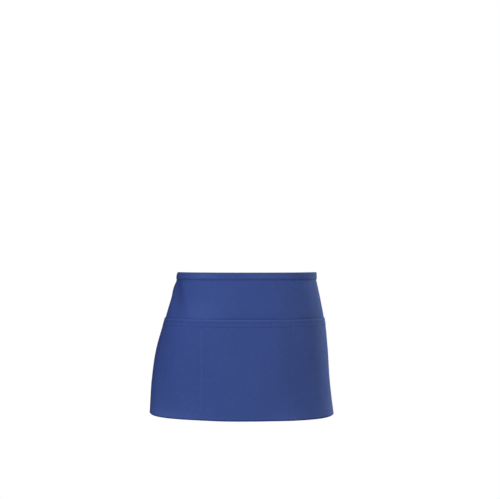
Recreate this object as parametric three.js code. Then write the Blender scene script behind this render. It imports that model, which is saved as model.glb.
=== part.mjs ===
// Waist apron in its worn form: a cloth skirt with a three-pocket panel on its front,
// a folded waistband over the skirt's top edge, and two ties that meet in a bow behind.
//
// Millimetres, +Z up. The apron faces -Y, and left and right are as seen from the front.
// The origin is the middle of the waist, level with the waistband's top edge at centre front.
// "along" is a distance round the cloth from centre front, positive to the right.
// "drop" is a distance down the cloth from the waistband's top edge.
import * as THREE from "three";

// Driving dimensions
const SKIRT_WIDTH = 610;
const SKIRT_LENGTH = 305;
const CLOTH = 1.0;
const GAP = 0.3;

const WAISTBAND_HEIGHT = 15;
const WAISTBAND_PAST_SKIRT = 14;

const POCKET_DROP = 97;
const DIVIDER_ALONG = 99;

const TIE_WIDTH = 12.6;
const TIE_GATHERED = 9.6;
const TIE_LAYER = 1.6;
const TIE_FOLD_OUT = 1.76;
const TIE_GATHER_LENGTH = 25;
const TIE_INSIDE_BAND = 12;
const KNOT_LAYERS = 3;
const KNOT_LENGTH = 13;
const KNOT_WALL = 1.2;
const KNOT_ROOM = 0.45;

// How far the waistline dips at centre back, and how far the hem lifts at the side edges
const BACK_DIP = 8;
const DIP_STARTS = 150;
const DIP_ENDS = 390;
const HEM_LIFT = 22;
const HEM_LIFT_POWER = 5;

const CLOTH_BLUE = 0x3a4d8c;

// The body's horizontal outline at each level: half-widths to the left and right,
// depths to the front and back, and how square it is (2 is an ellipse).
// Above the first level the waistband stands upright.
const OUTLINE = [
  { drop: WAISTBAND_HEIGHT, left: 149.2, right: 144.8, front: 95, back: 95, square: 2.35 },
  { drop: 55, left: 163.5, right: 152.5, front: 103.5, back: 100, square: 2.3 },
  { drop: 97, left: 174, right: 161, front: 111, back: 106, square: 2.25 },
  { drop: 165, left: 192.5, right: 169.5, front: 114, back: 112, square: 2.2 },
  { drop: 240, left: 202, right: 175.5, front: 115, back: 114, square: 2.2 },
  { drop: 305, left: 204, right: 184.3, front: 115, back: 114, square: 2.2 },
];

// The three pockets: the seams on either side of each, and where and how far its mouth gapes
const POCKETS = [
  { from: -SKIRT_WIDTH / 2, to: -DIVIDER_ALONG, gapeFrom: -198, gapeTo: -DIVIDER_ALONG, gape: 8.5 },
  { from: -DIVIDER_ALONG, to: DIVIDER_ALONG, gapeFrom: -DIVIDER_ALONG, gapeTo: DIVIDER_ALONG, gape: 9 },
  { from: DIVIDER_ALONG, to: SKIRT_WIDTH / 2, gapeFrom: DIVIDER_ALONG, gapeTo: 198, gape: 8.5 },
];

// Soft folds that hang down the skirt: where each lies at the hem, how wide it is,
// how far it stands out (negative for a hollow), and the drop where it begins
const FOLDS = [
  { along: -262, width: 34, out: 3.0, begins: 120 },
  { along: -190, width: 38, out: -2.2, begins: 150 },
  { along: -60, width: 45, out: 1.2, begins: 170 },
  { along: 45, width: 42, out: -1.2, begins: 170 },
  { along: 175, width: 36, out: 2.0, begins: 150 },
  { along: 240, width: 34, out: -2.6, begins: 120 },
];

// The tie from the knot round its bow loop and back, for the right-hand side.
// out is the distance from the knot to the side, back is the distance behind the waist,
// down is the distance below the knot, tilt leans the strip's width, in degrees
const BOW_LOOP = [
  { out: 8, back: 1.7, down: 0, tilt: 1, width: TIE_GATHERED },
  { out: 20, back: 2.6, down: 2.6, tilt: 14, width: 11.4 },
  { out: 48, back: 4.4, down: 13.5, tilt: 27, width: TIE_WIDTH },
  { out: 78, back: 8.5, down: 32, tilt: 35, width: TIE_WIDTH },
  { out: 95, back: 15, down: 44.5, tilt: 38, width: TIE_WIDTH },
  { out: 99, back: 21, down: 47.5, tilt: 38, width: TIE_WIDTH },
  { out: 93, back: 26.5, down: 43, tilt: 37, width: TIE_WIDTH },
  { out: 74, back: 28, down: 29.5, tilt: 34, width: TIE_WIDTH },
  { out: 47, back: 20.5, down: 13, tilt: 27, width: TIE_WIDTH },
  { out: 23, back: 8.6, down: 3.4, tilt: 15, width: 11.4 },
  { out: 9.5, back: 3.7, down: 0.2, tilt: 2, width: TIE_GATHERED },
];
const FREE_END = [
  { out: 7.5, back: 4.9, down: 0, tilt: 0, width: TIE_GATHERED },
  { out: 13.5, back: 7.2, down: 3.5, tilt: 46, width: TIE_GATHERED },
  { out: 17, back: 8.2, down: 12.5, tilt: 74, width: 10.6 },
  { out: 20.5, back: 7.6, down: 30, tilt: 80, width: TIE_WIDTH },
  { out: 27, back: 5.5, down: 75, tilt: 82, width: TIE_WIDTH },
  { out: 34, back: 4.8, down: 140, tilt: 85, width: TIE_WIDTH },
  { out: 39, back: 6.5, down: 215, tilt: 87, width: TIE_WIDTH },
];

// Mesh steps
const SPANS_PER_POCKET = 16;
const SPANS_ABOVE_POCKET = 5;
const SPANS_DOWN_POCKET = 9;
const SPANS_PAST_SKIRT = 3;
const OUTLINE_STEP = Math.PI / 240;
const STEPS_PER_STATION = 3;
const STRAND_STEP = 8;
const SPANS_PER_TIE_FOLD = 4;
const STEPS_PER_KNOT_CORNER = 4;

const HALF_WIDTH = SKIRT_WIDTH / 2;
const SKIRT_TOP = CLOTH + GAP;

const clamp01 = (value) => Math.min(1, Math.max(0, value));
const smooth = (value) => clamp01(value) ** 2 * (3 - 2 * clamp01(value));
const radians = (degrees) => (degrees * Math.PI) / 180;
const spread = (from, to, spans) =>
  Array.from({ length: spans + 1 }, (_, i) => from + ((to - from) * i) / spans);

// One column of the outline table at any drop, as a smooth curve through its rows
function outlineSize(column, drop) {
  const last = OUTLINE.length - 1;
  const at = Math.max(OUTLINE[0].drop, Math.min(OUTLINE[last].drop, drop));
  let row = 0;
  while (row < last - 1 && OUTLINE[row + 1].drop < at) row++;
  const slope = (i) => {
    const before = OUTLINE[Math.max(0, i - 1)];
    const after = OUTLINE[Math.min(last, i + 1)];
    return (after[column] - before[column]) / (after.drop - before.drop);
  };
  const [low, high] = [OUTLINE[row], OUTLINE[row + 1]];
  const span = high.drop - low.drop;
  const t = (at - low.drop) / span;
  return (
    low[column] * (1 - smooth(t)) +
    high[column] * smooth(t) +
    span * (slope(row) * t * (1 - t) ** 2 - slope(row + 1) * t * t * (1 - t))
  );
}

// The point of a level's outline that lies a distance along the cloth from centre front
function outlinePoint(along, drop) {
  const side = Math.sign(along) || 1;
  const half = outlineSize(side < 0 ? "left" : "right", drop);
  const [front, back] = [outlineSize("front", drop), outlineSize("back", drop)];
  const square = outlineSize("square", drop);
  const pointAt = (turn) => {
    const [across, ahead] = [Math.sin(turn), -Math.cos(turn)];
    const depth = ahead < 0 ? front : back;
    const reach = (Math.abs(across / half) ** square + Math.abs(ahead / depth) ** square) ** (-1 / square);
    return new THREE.Vector2(side * across * reach, ahead * reach);
  };
  let left = Math.abs(along);
  let here = pointAt(0);
  for (let turn = OUTLINE_STEP; turn < Math.PI; turn += OUTLINE_STEP) {
    const next = pointAt(turn);
    const length = here.distanceTo(next);
    if (left <= length) return here.lerp(next, left / length);
    left -= length;
    here = next;
  }
  return here;
}

const waistDip = (along) => BACK_DIP * smooth((Math.abs(along) - DIP_STARTS) / (DIP_ENDS - DIP_STARTS));
const belowBand = (drop) => clamp01((drop - WAISTBAND_HEIGHT) / (SKIRT_LENGTH - WAISTBAND_HEIGHT));
const hemLift = (along, drop) =>
  HEM_LIFT * clamp01(Math.abs(along) / HALF_WIDTH) ** HEM_LIFT_POWER * belowBand(drop);

// The skirt's middle surface before its folds
function bodyPoint(along, drop) {
  const plan = outlinePoint(along, drop);
  return new THREE.Vector3(plan.x, plan.y, hemLift(along, drop) - drop - waistDip(along));
}

function outward(along, drop) {
  const across = bodyPoint(along + 1, drop).sub(bodyPoint(along - 1, drop));
  const downward = bodyPoint(along, drop + 1).sub(bodyPoint(along, drop - 1));
  return downward.cross(across).normalize();
}

function foldHeight(along, drop) {
  return FOLDS.reduce((sum, fold) => {
    const side = (along - fold.along) / fold.width;
    const grown = smooth((drop - fold.begins) / (SKIRT_LENGTH - fold.begins));
    return sum + fold.out * grown * Math.exp(-side * side);
  }, 0);
}

// A point of the cloth, a distance out from the skirt's middle surface
function clothPoint(along, drop, out) {
  return bodyPoint(along, drop).addScaledVector(outward(along, drop), out + foldHeight(along, drop));
}

// A closed cloth wall through sections. Each section lists its outer and inner points
// from one edge to the other, and both sides are split into triangles along the same lines.
function clothWall(sections) {
  const rings = sections.map(({ outer, inner }) => [...outer, ...[...inner].reverse()]);
  const count = rings[0].length;
  const at = (ring, point) => ring * count + (point % count);
  const index = [];
  const quad = (a, b, c, d) => index.push(a, b, c, a, c, d);
  const end = rings.length - 1;
  for (let ring = 0; ring < end; ring++) {
    for (let point = 0; point < count; point++) {
      const corners = [at(ring, point), at(ring, point + 1), at(ring + 1, point + 1), at(ring + 1, point)];
      if (point >= count / 2) corners.push(corners.shift());
      quad(...corners);
    }
  }
  for (let point = 0; point < count / 2 - 1; point++) {
    const opposite = count - 1 - point;
    quad(at(0, point), at(0, opposite), at(0, opposite - 1), at(0, point + 1));
    quad(at(end, point), at(end, point + 1), at(end, opposite - 1), at(end, opposite));
  }
  const vertices = rings.flat();
  if (signedVolume(vertices, index) < 0) index.reverse();
  const geometry = new THREE.BufferGeometry().setFromPoints(vertices);
  geometry.setIndex(index);
  geometry.computeVertexNormals();
  return geometry;
}

function signedVolume(vertices, index) {
  let total = 0;
  for (let i = 0; i < index.length; i += 3) {
    const [a, b, c] = [vertices[index[i]], vertices[index[i + 1]], vertices[index[i + 2]]];
    total += new THREE.Vector3().crossVectors(a, b).dot(c) / 6;
  }
  return total;
}

// Columns of the skirt and pocket meshes, with one on every pocket seam
const columns = POCKETS.flatMap(({ from, to }, pocket) =>
  spread(from, to, SPANS_PER_POCKET).slice(pocket ? 1 : 0),
);
const pocketRows = spread(POCKET_DROP, SKIRT_LENGTH, SPANS_DOWN_POCKET);
const skirtRows = [
  SKIRT_TOP,
  ...spread(WAISTBAND_HEIGHT, POCKET_DROP, SPANS_ABOVE_POCKET),
  ...pocketRows.slice(1),
];

function skirtPanel() {
  const side = (along, out) => skirtRows.map((drop) => clothPoint(along, drop, out));
  return clothWall(
    columns.map((along) => ({ outer: side(along, CLOTH / 2), inner: side(along, -CLOTH / 2) })),
  );
}

// How far the pocket panel stands off the skirt: nothing at the seams and the bottom,
// most in the middle of each mouth
function pocketGape(along, drop) {
  const { gapeFrom, gapeTo, gape } = POCKETS.find(({ to }) => along <= to);
  const across = Math.sin(Math.PI * clamp01((along - gapeFrom) / (gapeTo - gapeFrom)));
  const down = (drop - POCKET_DROP) / (SKIRT_LENGTH - POCKET_DROP);
  return gape * across ** 2 * (1 - down * down);
}

function pocketPanel() {
  const side = (along, out) =>
    pocketRows.map((drop) => clothPoint(along, drop, CLOTH + GAP + pocketGape(along, drop) + out));
  return clothWall(
    columns.map((along) => ({ outer: side(along, CLOTH / 2), inner: side(along, -CLOTH / 2) })),
  );
}

// The waistband is a strip folded over the skirt's top edge, open below
function waistband() {
  const slot = CLOTH / 2 + GAP;
  const face = slot + CLOTH;
  const shoulder = CLOTH / 2;
  const insideShoulder = GAP / 2;
  const pastSkirt = spread(HALF_WIDTH, HALF_WIDTH + WAISTBAND_PAST_SKIRT, SPANS_PAST_SKIRT).slice(1);
  const section = (along) => {
    const place = ([drop, out]) => clothPoint(along, drop, out);
    const outside = [
      [WAISTBAND_HEIGHT, face],
      [shoulder, face],
      [0, face - shoulder],
      [0, shoulder - face],
      [shoulder, -face],
      [WAISTBAND_HEIGHT, -face],
    ];
    const inside = [
      [WAISTBAND_HEIGHT, slot],
      [CLOTH + insideShoulder, slot],
      [CLOTH, slot - insideShoulder],
      [CLOTH, insideShoulder - slot],
      [CLOTH + insideShoulder, -slot],
      [WAISTBAND_HEIGHT, -slot],
    ];
    return { outer: outside.map(place), inner: inside.map(place) };
  };
  const leftEnd = pastSkirt.map((along) => -along).reverse();
  return clothWall([...leftEnd, ...columns, ...pastSkirt].map(section));
}

// The knot's middle: behind the waist at centre back, half-way down the ties
const TIE_MIDDLE = CLOTH + GAP + TIE_WIDTH / 2;
const STRAND_START = HALF_WIDTH + WAISTBAND_PAST_SKIRT - TIE_INSIDE_BAND;
const KNOT = new THREE.Vector3(0, outlineSize("back", TIE_MIDDLE), -TIE_MIDDLE - BACK_DIP);

// Stations of a tie: the strand from the waistband, then a fold in the knot,
// the bow loop, a second fold, and the free end
function tieStations(side) {
  const stations = [];
  const add = (position, tilt, width) => stations.push({ position, tilt: radians(tilt) * side, width });
  const addFromKnot = ({ out, back, down, tilt, width }) =>
    add(new THREE.Vector3(side * out, back, -down).add(KNOT), tilt, width);
  const foldRadius = TIE_LAYER / 2;
  const addFold = (layer) => {
    for (const turn of spread(0, Math.PI, SPANS_PER_TIE_FOLD)) {
      const out = TIE_FOLD_OUT - Math.sin(turn) * foldRadius;
      const back = layer * TIE_LAYER + (1 - Math.cos(turn)) * foldRadius;
      addFromKnot({ out, back, down: 0, tilt: 0, width: TIE_GATHERED });
    }
  };
  for (let along = STRAND_START; ; along += STRAND_STEP) {
    const place = bodyPoint(side * along, TIE_MIDDLE);
    const toKnot = Math.abs(place.x);
    if (toKnot < STRAND_STEP) break;
    const spreadOut = smooth((toKnot - KNOT_LENGTH) / TIE_GATHER_LENGTH);
    add(place, 0, TIE_GATHERED + (TIE_WIDTH - TIE_GATHERED) * spreadOut);
  }
  addFold(0);
  BOW_LOOP.forEach(addFromKnot);
  addFold(KNOT_LAYERS - 1);
  FREE_END.forEach(addFromKnot);
  return stations;
}

// A flat strip through stations, each with its place, its lean and its width
function strip(stations) {
  const route = new THREE.CatmullRomCurve3(
    stations.map((station) => station.position),
    false,
    "centripetal",
  );
  const spans = stations.length - 1;
  const sections = spread(0, spans, spans * STEPS_PER_STATION).map((at) => {
    const before = stations[Math.min(spans - 1, Math.floor(at))];
    const after = stations[Math.min(spans, Math.floor(at) + 1)];
    const share = at - Math.min(spans - 1, Math.floor(at));
    const tilt = before.tilt + (after.tilt - before.tilt) * share;
    const halfWidth = (before.width + (after.width - before.width) * share) / 2;
    const middle = route.getPoint(at / spans);
    const across = new THREE.Vector3(Math.sin(tilt), 0, Math.cos(tilt));
    const face = route.getTangent(at / spans).cross(across).normalize();
    const corner = (up, out) =>
      middle.clone().addScaledVector(across, up * halfWidth).addScaledVector(face, (out * CLOTH) / 2);
    return { outer: [corner(1, 1), corner(-1, 1)], inner: [corner(1, -1), corner(-1, -1)] };
  });
  return clothWall(sections);
}

// The knot is a band wrapped round the folded ties: a ring with rounded corners
function bowKnot() {
  const layers = KNOT_LAYERS * TIE_LAYER;
  const shape = new THREE.Shape();
  const ringShape = (path, wall) => {
    const depth = (layers + CLOTH) / 2 + KNOT_ROOM + wall;
    const height = TIE_GATHERED / 2 + KNOT_ROOM + wall;
    const corner = KNOT_ROOM + wall;
    path.moveTo(depth - corner, -height);
    path.absarc(depth - corner, corner - height, corner, -Math.PI / 2, 0);
    path.absarc(depth - corner, height - corner, corner, 0, Math.PI / 2);
    path.absarc(corner - depth, height - corner, corner, Math.PI / 2, Math.PI);
    path.absarc(corner - depth, corner - height, corner, Math.PI, Math.PI * 1.5);
    path.closePath();
    return path;
  };
  ringShape(shape, KNOT_WALL);
  shape.holes.push(ringShape(new THREE.Path(), 0));
  const ring = new THREE.ExtrudeGeometry(shape, {
    depth: KNOT_LENGTH,
    bevelEnabled: false,
    curveSegments: STEPS_PER_KNOT_CORNER,
  });
  ring.translate(0, 0, -KNOT_LENGTH / 2);
  ring.applyMatrix4(
    new THREE.Matrix4().makeBasis(
      new THREE.Vector3(0, 1, 0),
      new THREE.Vector3(0, 0, 1),
      new THREE.Vector3(1, 0, 0),
    ),
  );
  ring.translate(KNOT.x, KNOT.y + layers / 2, KNOT.z);
  return ring;
}

const cloth = new THREE.MeshStandardMaterial({ color: CLOTH_BLUE, roughness: 0.9, metalness: 0 });

const apron = new THREE.Group();
function addPiece(name, geometry) {
  const piece = new THREE.Mesh(geometry, cloth.clone());
  piece.name = name;
  apron.add(piece);
}

addPiece("skirt_panel", skirtPanel());
addPiece("pocket_panel", pocketPanel());
addPiece("waistband", waistband());
addPiece("tie_left", strip(tieStations(-1)));
addPiece("tie_right", strip(tieStations(1)));
addPiece("bow_knot", bowKnot());

export default apron;
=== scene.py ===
"""The looks of a waist apron: its cloth, hems, stitching, ties and bow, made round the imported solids.

Metres, +Z up. The apron faces -Y, and left and right are as seen from the front.
"along" is a distance round the cloth from centre front, positive to the right.
"drop" is a distance down the cloth from the waistband's top edge.
"out" is a distance outwards from the skirt's middle surface, and "sink" a small extra distance down.
"""
import math
from collections import namedtuple
from functools import lru_cache

import bpy
import numpy as np
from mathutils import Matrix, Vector, noise


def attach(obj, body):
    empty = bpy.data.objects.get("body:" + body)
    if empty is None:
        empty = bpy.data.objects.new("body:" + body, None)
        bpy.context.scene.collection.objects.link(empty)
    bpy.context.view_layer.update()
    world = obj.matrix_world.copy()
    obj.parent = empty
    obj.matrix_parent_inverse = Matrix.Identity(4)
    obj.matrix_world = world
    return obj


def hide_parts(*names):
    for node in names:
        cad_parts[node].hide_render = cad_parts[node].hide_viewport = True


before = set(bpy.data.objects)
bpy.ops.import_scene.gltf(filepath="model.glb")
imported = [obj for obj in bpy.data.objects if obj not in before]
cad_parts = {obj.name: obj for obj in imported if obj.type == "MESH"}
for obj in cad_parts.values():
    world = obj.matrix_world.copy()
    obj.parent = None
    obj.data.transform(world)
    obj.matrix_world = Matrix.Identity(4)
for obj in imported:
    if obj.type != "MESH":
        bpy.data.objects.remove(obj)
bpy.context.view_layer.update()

# Cloth, and how its edges are rounded
CLOTH = 0.0008
EDGE_RADIUS = 0.0006
EDGE_THIN = 0.12
EDGE_SHARES = np.array([0, 0.08, 0.25, 0.55, 1.0])

# Skirt, with side hems turned to the back
SKIRT_WIDTH = 0.610
SKIRT_LENGTH = 0.305
HALF_WIDTH = SKIRT_WIDTH / 2
SKIRT_TOP = 0.0016
SKIRT_HEM = SKIRT_LENGTH - 0.0005
SIDE_HEM = 0.010
SIDE_HEM_LAYERS = 0.0008
SIDE_HEM_STEP = 0.0009
SIDE_HEM_THICKENS = 0.003
SIDE_STITCH = 0.0084

# Waistband, a strip folded over the skirt's top edge
WAISTBAND_HEIGHT = 0.015
WAISTBAND_END = HALF_WIDTH + 0.014
WAISTBAND_FOLD = 0.0012
WAISTBAND_SHOULDER = WAISTBAND_FOLD + CLOTH / 2
WAISTBAND_STITCH = 0.0139
WAISTBAND_SWELL = 0.00025
WAISTBAND_SWELL_RIPPLE = 0.5
WAISTBAND_LIP = 0.0002
WAISTBAND_WANDER = 0.0004

# Pocket panel, with a doubled hem at its mouth and a bottom edge rolled under the skirt's
POCKET_DROP = 0.097
POCKET_LAYER = 0.0011
POCKET_CLEAR = 0.0002
POCKET_ROLL = 0.0011
POCKET_ROLL_TURNS = np.radians([22, 45, 68, 90, 112])
POCKET_ROLL_THIN = 0.3
POCKET_SAG = 0.0010
MOUTH_SAG = 0.0005
SAG_FADES = 0.05
MOUTH_HEM = 0.0175
MOUTH_HEM_LAYERS = 0.0007
MOUTH_HEM_STEP = 0.0010
MOUTH_HEM_OUTSIDE = 0.6
MOUTH_STITCHES = (0.0055, 0.0155)
MOUTH_OPEN = 0.32
DIVIDER = 0.099
TWIN_NEEDLE = 0.0064
DIVIDER_ROWS = [sign * (DIVIDER - gauge) for sign in (-1, 1) for gauge in (0, TWIN_NEEDLE)]
SEAM_RIDGE = 0.0002
SEAM_RIDGE_EDGE = 0.0012
SEAM_FLAT = 0.004

# Ties and the knot of their bow
TIE_WIDTH = 0.0126
TIE_GATHERED = 0.0096
TIE_WIDENS = 0.025
TIE_CLOTH = 0.0010
TIE_LAYER = 0.0016
TIE_MIDDLE = 0.0013 + TIE_WIDTH / 2
TIE_HEM = 0.009
TIE_HEM_STEP = 0.001
TIE_HEM_LAYERS = 0.5
TIE_SEWN_IN = 0.009
TIE_PRESSED = 0.35
TIE_PRESSED_STEP = 0.003
TIE_EDGE_THIN = 0.1
TIE_EDGE_POWER = 12
TIE_WEAR_POWER = 10
TIE_STITCH = 0.74
TIE_STITCHED = slice(2, -6)
TIE_FOLD_OUT = 1.1
PLEATS = 3
PLEAT_OUT = 0.0009
PLEAT_BEGINS = 0.004
KNOT_LENGTH = 0.013
KNOT_LAYERS = 3
KNOT_ROOM_BACK = 0.0018
KNOT_ROOM_UP = 0.0011
KNOT_SQUARE = 3
KNOT_CLOTH = 0.0006
KNOT_SWELL = 0.0011
KNOT_SNUG = 0.0001
KNOT_EDGE = 0.0016
KNOT_SKEW = 0.0006
KNOT_CREASE = 0.00035
KNOT_CREASE_TURNS = 7.5
KNOT_CREASE_EVEN = 0.6
KNOT_CREASE_SHIFT = 0.8
KNOT_WEAR_POWER = 8

# Stitches and bar tacks
STITCH_PITCH = 0.0029
STITCH_LENGTH = 0.0024
STITCH_SWAY = 0.06
STITCH_SEED = 4
STITCH_INPUTS = ("Pitch", "Length", "Thread", "Turn")
THREAD = 0.00042
THREAD_PROUD = THREAD / 5
TACK_LENGTH = 0.009
TACK_PITCH = 0.00055
TACK_WIDTH = 0.0020
TACK_STARTS = 0.0012
TACK_STEP = 0.0004
SIDE_TACK = 0.004
ROW_STEP = 0.003
ROW_INSET = 0.003
ROW_CLEAR = 0.002
DIVIDER_STARTS = 0.001
BAND_END_ROW = 0.004
BAND_END_STEP = 0.002
BAND_END_STOPS = 0.001

# Spacing of the meshes' columns and rows, and how far the closer ones reach
COLUMN = 0.0028
SEAM_COLUMN = 0.0008
SEAM_REACH = 0.013
HEM_COLUMN = 0.0009
HEM_REACH = 0.003
ROW = 0.0033
HIDDEN_ROW = 0.004
FINE_ROW = 0.0008
FINE_REACH = 0.004
FINE_IN_BAND = 0.001
MOUTH_ROW = 0.0006
MOUTH_REACH = 0.0016
ROLL_ROW = 0.0005
ROLL_REACH = 0.003
BAND_COLUMN = 0.0022
BAND_END_COLUMN = 0.0012
BAND_ROW = 0.0006
BAND_FOLD_DEGREES = 15
TIE_STEPS = 10
TIE_ROWS = 15
TIE_STRAND_STEP = 0.008
TIE_FOLD_PLACES = 5
KNOT_COLUMNS = 72
KNOT_ROWS = 33
OUTLINE_STEPS = 720
SLOPE_STEP = 0.001

# A hair's breadth that keeps rows at one level apart, and the decimals that places are kept to
HAIR = 1e-6
DECIMALS = 7

# The body's outline at each level: half-widths left and right, depths front and back,
# and how square it is
Outline = namedtuple("Outline", "drop left right front back square")
OUTLINE = [
    Outline(0.000, 0.1480, 0.1460, 0.0950, 0.0950, 2.35),
    Outline(0.015, 0.1520, 0.1466, 0.0950, 0.0950, 2.35),
    Outline(0.031, 0.1584, 0.1496, 0.0983, 0.0970, 2.33),
    Outline(0.055, 0.1630, 0.1546, 0.1035, 0.1000, 2.30),
    Outline(0.097, 0.1748, 0.1625, 0.1110, 0.1060, 2.25),
    Outline(0.165, 0.1935, 0.1701, 0.1140, 0.1120, 2.20),
    Outline(0.240, 0.2022, 0.1758, 0.1150, 0.1140, 2.20),
    Outline(0.305, 0.2051, 0.1851, 0.1150, 0.1140, 2.20),
]

# How far the waist dips behind, and over which stretch of the cloth
BACK_DIP = 0.008
DIP_STARTS = 0.150
DIP_ENDS = 0.390

# How far the hem rises towards its ends, and places where it hangs a little higher:
# the middle of each, its width and how far up
HEM_RISE = 0.022
HEM_RISE_POWER = 5
Lift = namedtuple("Lift", "along width up")
HEM_LIFTS = [
    Lift(-0.120, 0.062, 0.0013),
    Lift(0.215, 0.035, 0.0020),
]
HEM_LIFT_POWER = 3

# Where each pocket's mouth gapes and how far
Gape = namedtuple("Gape", "start end out")
GAPES = [
    Gape(-0.198, -DIVIDER, 0.0085),
    Gape(-DIVIDER, DIVIDER, 0.0090),
    Gape(DIVIDER, 0.198, 0.0085),
]

# Soft folds down the skirt: place at the hem, width, height and the drop where each begins
Fold = namedtuple("Fold", "along width out begins")
FOLDS = [
    Fold(-0.262, 0.034, 0.0030, 0.120),
    Fold(-0.190, 0.038, -0.0022, 0.150),
    Fold(-0.060, 0.045, 0.0012, 0.170),
    Fold(0.045, 0.042, -0.0012, 0.170),
    Fold(0.175, 0.036, 0.0020, 0.150),
    Fold(0.240, 0.034, -0.0026, 0.120),
    Fold(-HALF_WIDTH, 0.026, 0.0068, 0.060),
    Fold(-0.279, 0.014, -0.0030, 0.090),
    Fold(HALF_WIDTH, 0.028, 0.0060, 0.060),
    Fold(0.277, 0.014, -0.0028, 0.100),
]

# Shallow creases: where each begins and ends, its width and its height
Crease = namedtuple("Crease", "along drop to_along to_drop width out")
CREASES = [
    Crease(-0.157, 0.004, -0.116, 0.112, 0.010, 0.0010),
    Crease(-0.302, 0.012, -0.226, 0.062, 0.006, 0.0020),
    Crease(-0.301, 0.016, -0.236, 0.098, 0.007, -0.0022),
    Crease(-0.301, 0.026, -0.256, 0.160, 0.009, 0.0026),
    Crease(-0.302, 0.050, -0.281, 0.225, 0.009, -0.0021),
    Crease(0.301, 0.013, 0.231, 0.056, 0.006, 0.0019),
    Crease(0.302, 0.018, 0.234, 0.104, 0.008, -0.0023),
    Crease(0.300, 0.030, 0.262, 0.148, 0.008, 0.0024),
    Crease(0.303, 0.056, 0.279, 0.240, 0.010, -0.0022),
    Crease(-0.125, 0.212, -0.052, 0.221, 0.006, -0.0015),
    Crease(0.252, 0.240, 0.301, 0.196, 0.008, 0.0010),
    Crease(-0.302, 0.204, -0.256, 0.250, 0.009, 0.0011),
]

# Random unevenness: the sizes of its features along and down the cloth, and its seed
Uneven = namedtuple("Uneven", "along_size drop_size seed")

# Soft random waves: height, the drop where they begin and over how far they grow, and their unevenness
Wave = namedtuple("Wave", "out begins grows uneven")
WAVES = [
    Wave(0.0014, 0.030, 0.200, Uneven(0.070, 0.260, 1.7)),
    Wave(0.0005, 0.020, 0.050, Uneven(0.030, 0.070, 5.1)),
    Wave(0.00018, 0.020, 0.040, Uneven(0.013, 0.022, 6.7)),
]

# Gathers below the waistband: height, the height that is added behind, from where and over how far,
# and the drops over which they grow and fade
Gathers = namedtuple("Gathers", "out behind_out behind_from behind_grows grows fades_from fades uneven")
GATHERS = Gathers(0.0007, 0.0013, 0.17, 0.07, 0.006, 0.02, 0.028, Uneven(0.011, 0.09, 2.9))

# Puckers beside the dividing seams: height, width and the drop over which they grow
Puckers = namedtuple("Puckers", "out width grows uneven")
PUCKERS = Puckers(0.0008, 0.013, 0.02, Uneven(0.030, 0.010, 9.3))

# The flat of the left hip, where the cloth spans a hollow: its place at the top and where it is gone,
# its width and depth, and the drops where it begins, over which it grows, where it fades and is gone
Flat = namedtuple("Flat", "along to_along width out begins grows fades gone")
HIP_FLAT = Flat(-0.178, -0.160, 0.026, -0.0072, 0.006, 0.024, 0.055, 0.130)

# The sway of the free edges behind: height, length, shift to either side, width and the drops where it grows
Sway = namedtuple("Sway", "out length shift width begins grows")
EDGE_SWAY = Sway(0.0040, 0.17, 1.3, 0.020, 0.03, 0.06)

# The pocket panel's puff beside its seams: height, the widths that it lies between and the power it fades by
Puff = namedtuple("Puff", "out near far power")
SEAM_PUFF = Puff(0.0003, 0.0075, 0.035, 4)

# The unevenness of the pocket mouths: height and the distance over which it fades
MouthWave = namedtuple("MouthWave", "out fades uneven")
MOUTH_WAVE = MouthWave(0.0009, 0.020, Uneven(0.012, 0.10, 8.1))

# The unevenness of the waistband's two legs, each read this far to its own side
LEG_APART = 0.05
LEG_RIPPLE = Uneven(0.016, 0.1, 3.3)
LEG_WANDER = Uneven(0.045, 0.1, 7.9)

# Patches on the cloth: the middle of each, its sizes along and down the cloth, and its depth or paleness
Patch = namedtuple("Patch", "along drop along_size drop_size amount")
HOLLOWS = [
    Patch(0.085, 0.246, 0.070, 0.070, -0.0050),
]
# A painted highlight above the left pocket's mouth
SKIRT_PAINTED_HIGHLIGHT = [
    Patch(-0.108, 0.098, 0.046, 0.036, 0.60),
]
# Painted highlights on the front of the waistband, stronger on the left
WAISTBAND_PAINTED_HIGHLIGHTS = [
    Patch(-0.090, 0.0080, 0.030, 0.0055, 0.95),
    Patch(0.035, 0.0080, 0.048, 0.0055, 0.70),
]
# Painted highlights along the pocket panel's bottom edge
POCKET_PAINTED_HIGHLIGHTS = [
    Patch(-0.190, 0.306, 0.060, 0.050, 0.50),
    Patch(-0.170, 0.306, 0.100, 0.016, 0.75),
    Patch(0.085, 0.306, 0.045, 0.014, 0.65),
    Patch(0.203, 0.300, 0.045, 0.040, 0.95),
]

# Soft lines on the cloth: how deep, pale or dark each is, where its middle lies and its width
Line = namedtuple("Line", "amount place width")
SIDE_WORN = Line(1.0, 0.0, 0.0012)
# Paler at the waistband's top fold, with wear and a painted highlight
BAND_FOLD_WEAR_AND_HIGHLIGHT = Line(0.35, WAISTBAND_SHOULDER, 0.0016)
BAND_EDGE_WORN = Line(1.0, WAISTBAND_HEIGHT, 0.0009)
# Painted shade in the waistband's stitch groove
BAND_STITCH_DARK = Line(1.4, WAISTBAND_STITCH, 0.0006)
BAND_GROOVE = Line(0.00015, WAISTBAND_STITCH, 0.0008)
# Painted shadows under the waistband's edge and behind the pocket mouths
UNDER_BAND_DARK = Line(0.35, 0.0, 0.0009)
BEHIND_MOUTH_DARK = Line(0.36, POCKET_DROP, 0.0016)
# Paler at the pocket mouth's edge, its hem's ridge and above the bottom edge, with wear and painted
# highlights
MOUTH_EDGE_WEAR_AND_HIGHLIGHT = Line(0.8, 0.0, 0.0014)
MOUTH_HEM_WEAR_AND_HIGHLIGHT = Line(0.5, MOUTH_HEM - 0.0004, 0.0008)
BOTTOM_WEAR_AND_HIGHLIGHT = Line(0.35, 0.004, 0.002)
TIE_GROOVE = Line(0.00012, TIE_STITCH, 0.07)
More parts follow.
